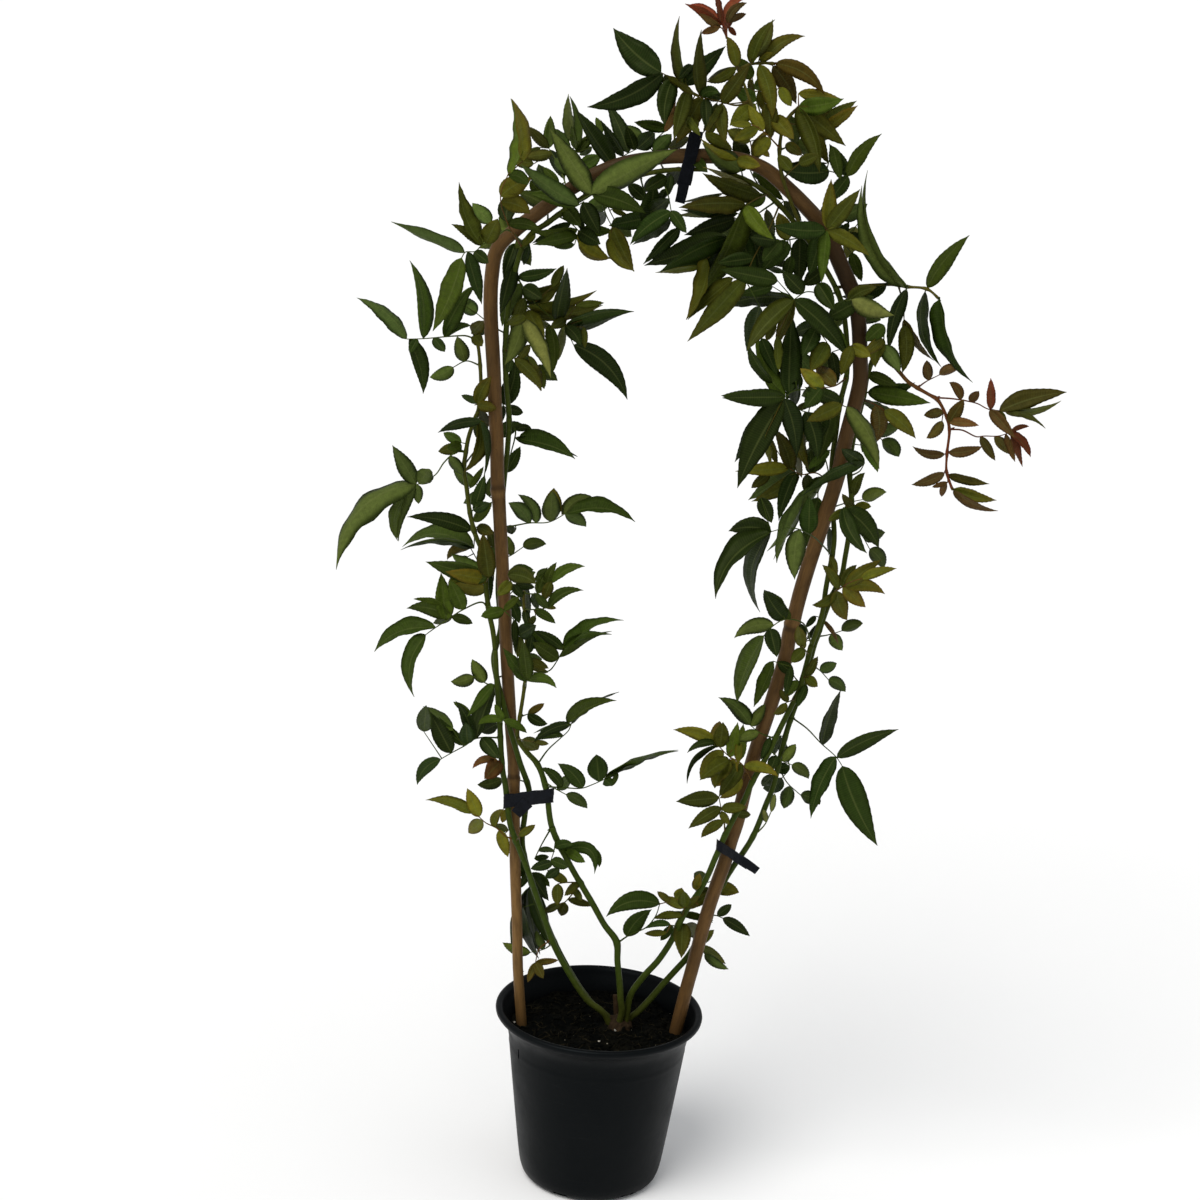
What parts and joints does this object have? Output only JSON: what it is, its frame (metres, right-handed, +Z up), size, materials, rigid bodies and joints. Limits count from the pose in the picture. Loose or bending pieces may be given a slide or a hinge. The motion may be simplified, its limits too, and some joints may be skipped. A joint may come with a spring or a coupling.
{
  "type": "potted yellow banksia rose",
  "caption": "Climbing rose out of flower, its leafy canes trained round a bamboo hoop and tied to it, rooted in a round nursery pot",
  "frame": {"origin": "centre of the pot's flat base, on the surface that it stands on", "axes": "+Z up along the height; the hoop stands in the XZ plane, with +X to the right and +Y away from a viewer who faces the plant"},
  "size_m": [0.6158, 0.2165, 1.0848],
  "materials": {
    "pot_plastic": "black moulded polypropylene, slightly shiny, scuffed",
    "compost": "dark moist peat compost with specks of perlite",
    "bamboo": "weathered brown bamboo with dark spots and joint rings",
    "woody_crown": "rough grey-brown bark",
    "tie_tape": "navy-black flat tape, matte",
    "foliage_olive": "olive leaflets and green canes, slight gloss",
    "foliage_dark": "dark green mature leaflets, slight gloss",
    "foliage_mid": "mid green leaflets, slight gloss",
    "foliage_gold": "yellowing leaflets with reddish tips",
    "foliage_bronze": "bronze young leaflets on a reddish stem",
    "foliage_red": "red youngest leaflets"
  },
  "bodies": {
    "root": {"pot": "pot_plastic", "compost": "compost", "bamboo_hoop": "bamboo", "crown": "woody_crown", "tie_left": "tie_tape", "tie_right": "tie_tape", "tie_top": "tie_tape", "left_front_cane_low": "foliage_olive", "left_back_cane_low": "foliage_dark", "middle_cane_low": "foliage_dark", "middle_cane_mid": "foliage_dark", "middle_cane_side_shoot": "foliage_mid", "left_front_cane_mid": "foliage_dark", "left_front_cane_high": "foliage_dark", "left_front_cane_upper": "foliage_mid", "left_front_cane_tip": "foliage_mid", "left_back_cane_mid": "foliage_dark", "left_back_cane_high": "foliage_mid", "left_shoulder_outer": "foliage_mid", "left_shoulder_inner": "foliage_olive", "left_shoulder_side_shoot": "foliage_olive", "left_arch_cane": "foliage_mid", "middle_arch_cane": "foliage_dark", "right_front_cane_low": "foliage_olive", "right_back_cane_low": "foliage_olive", "right_front_cane_mid": "foliage_gold", "right_back_cane_mid": "foliage_dark", "right_front_cane_high": "foliage_mid", "right_back_cane_high": "foliage_gold", "right_front_cane_upper": "foliage_dark", "right_back_cane_upper": "foliage_dark", "right_front_cane_shoulder": "foliage_dark", "right_back_cane_shoulder": "foliage_dark", "bronze_shoot": "foliage_bronze", "right_arch_cane_outer": "foliage_dark", "right_outer_side_shoot": "foliage_dark", "right_arch_cane_middle": "foliage_olive", "right_arch_cane_inner": "foliage_olive", "top_stem": "foliage_olive", "top_shoot": "foliage_olive", "top_arm": "foliage_olive", "red_shoot_tip": "foliage_red"}
  },
  "joints": []
}
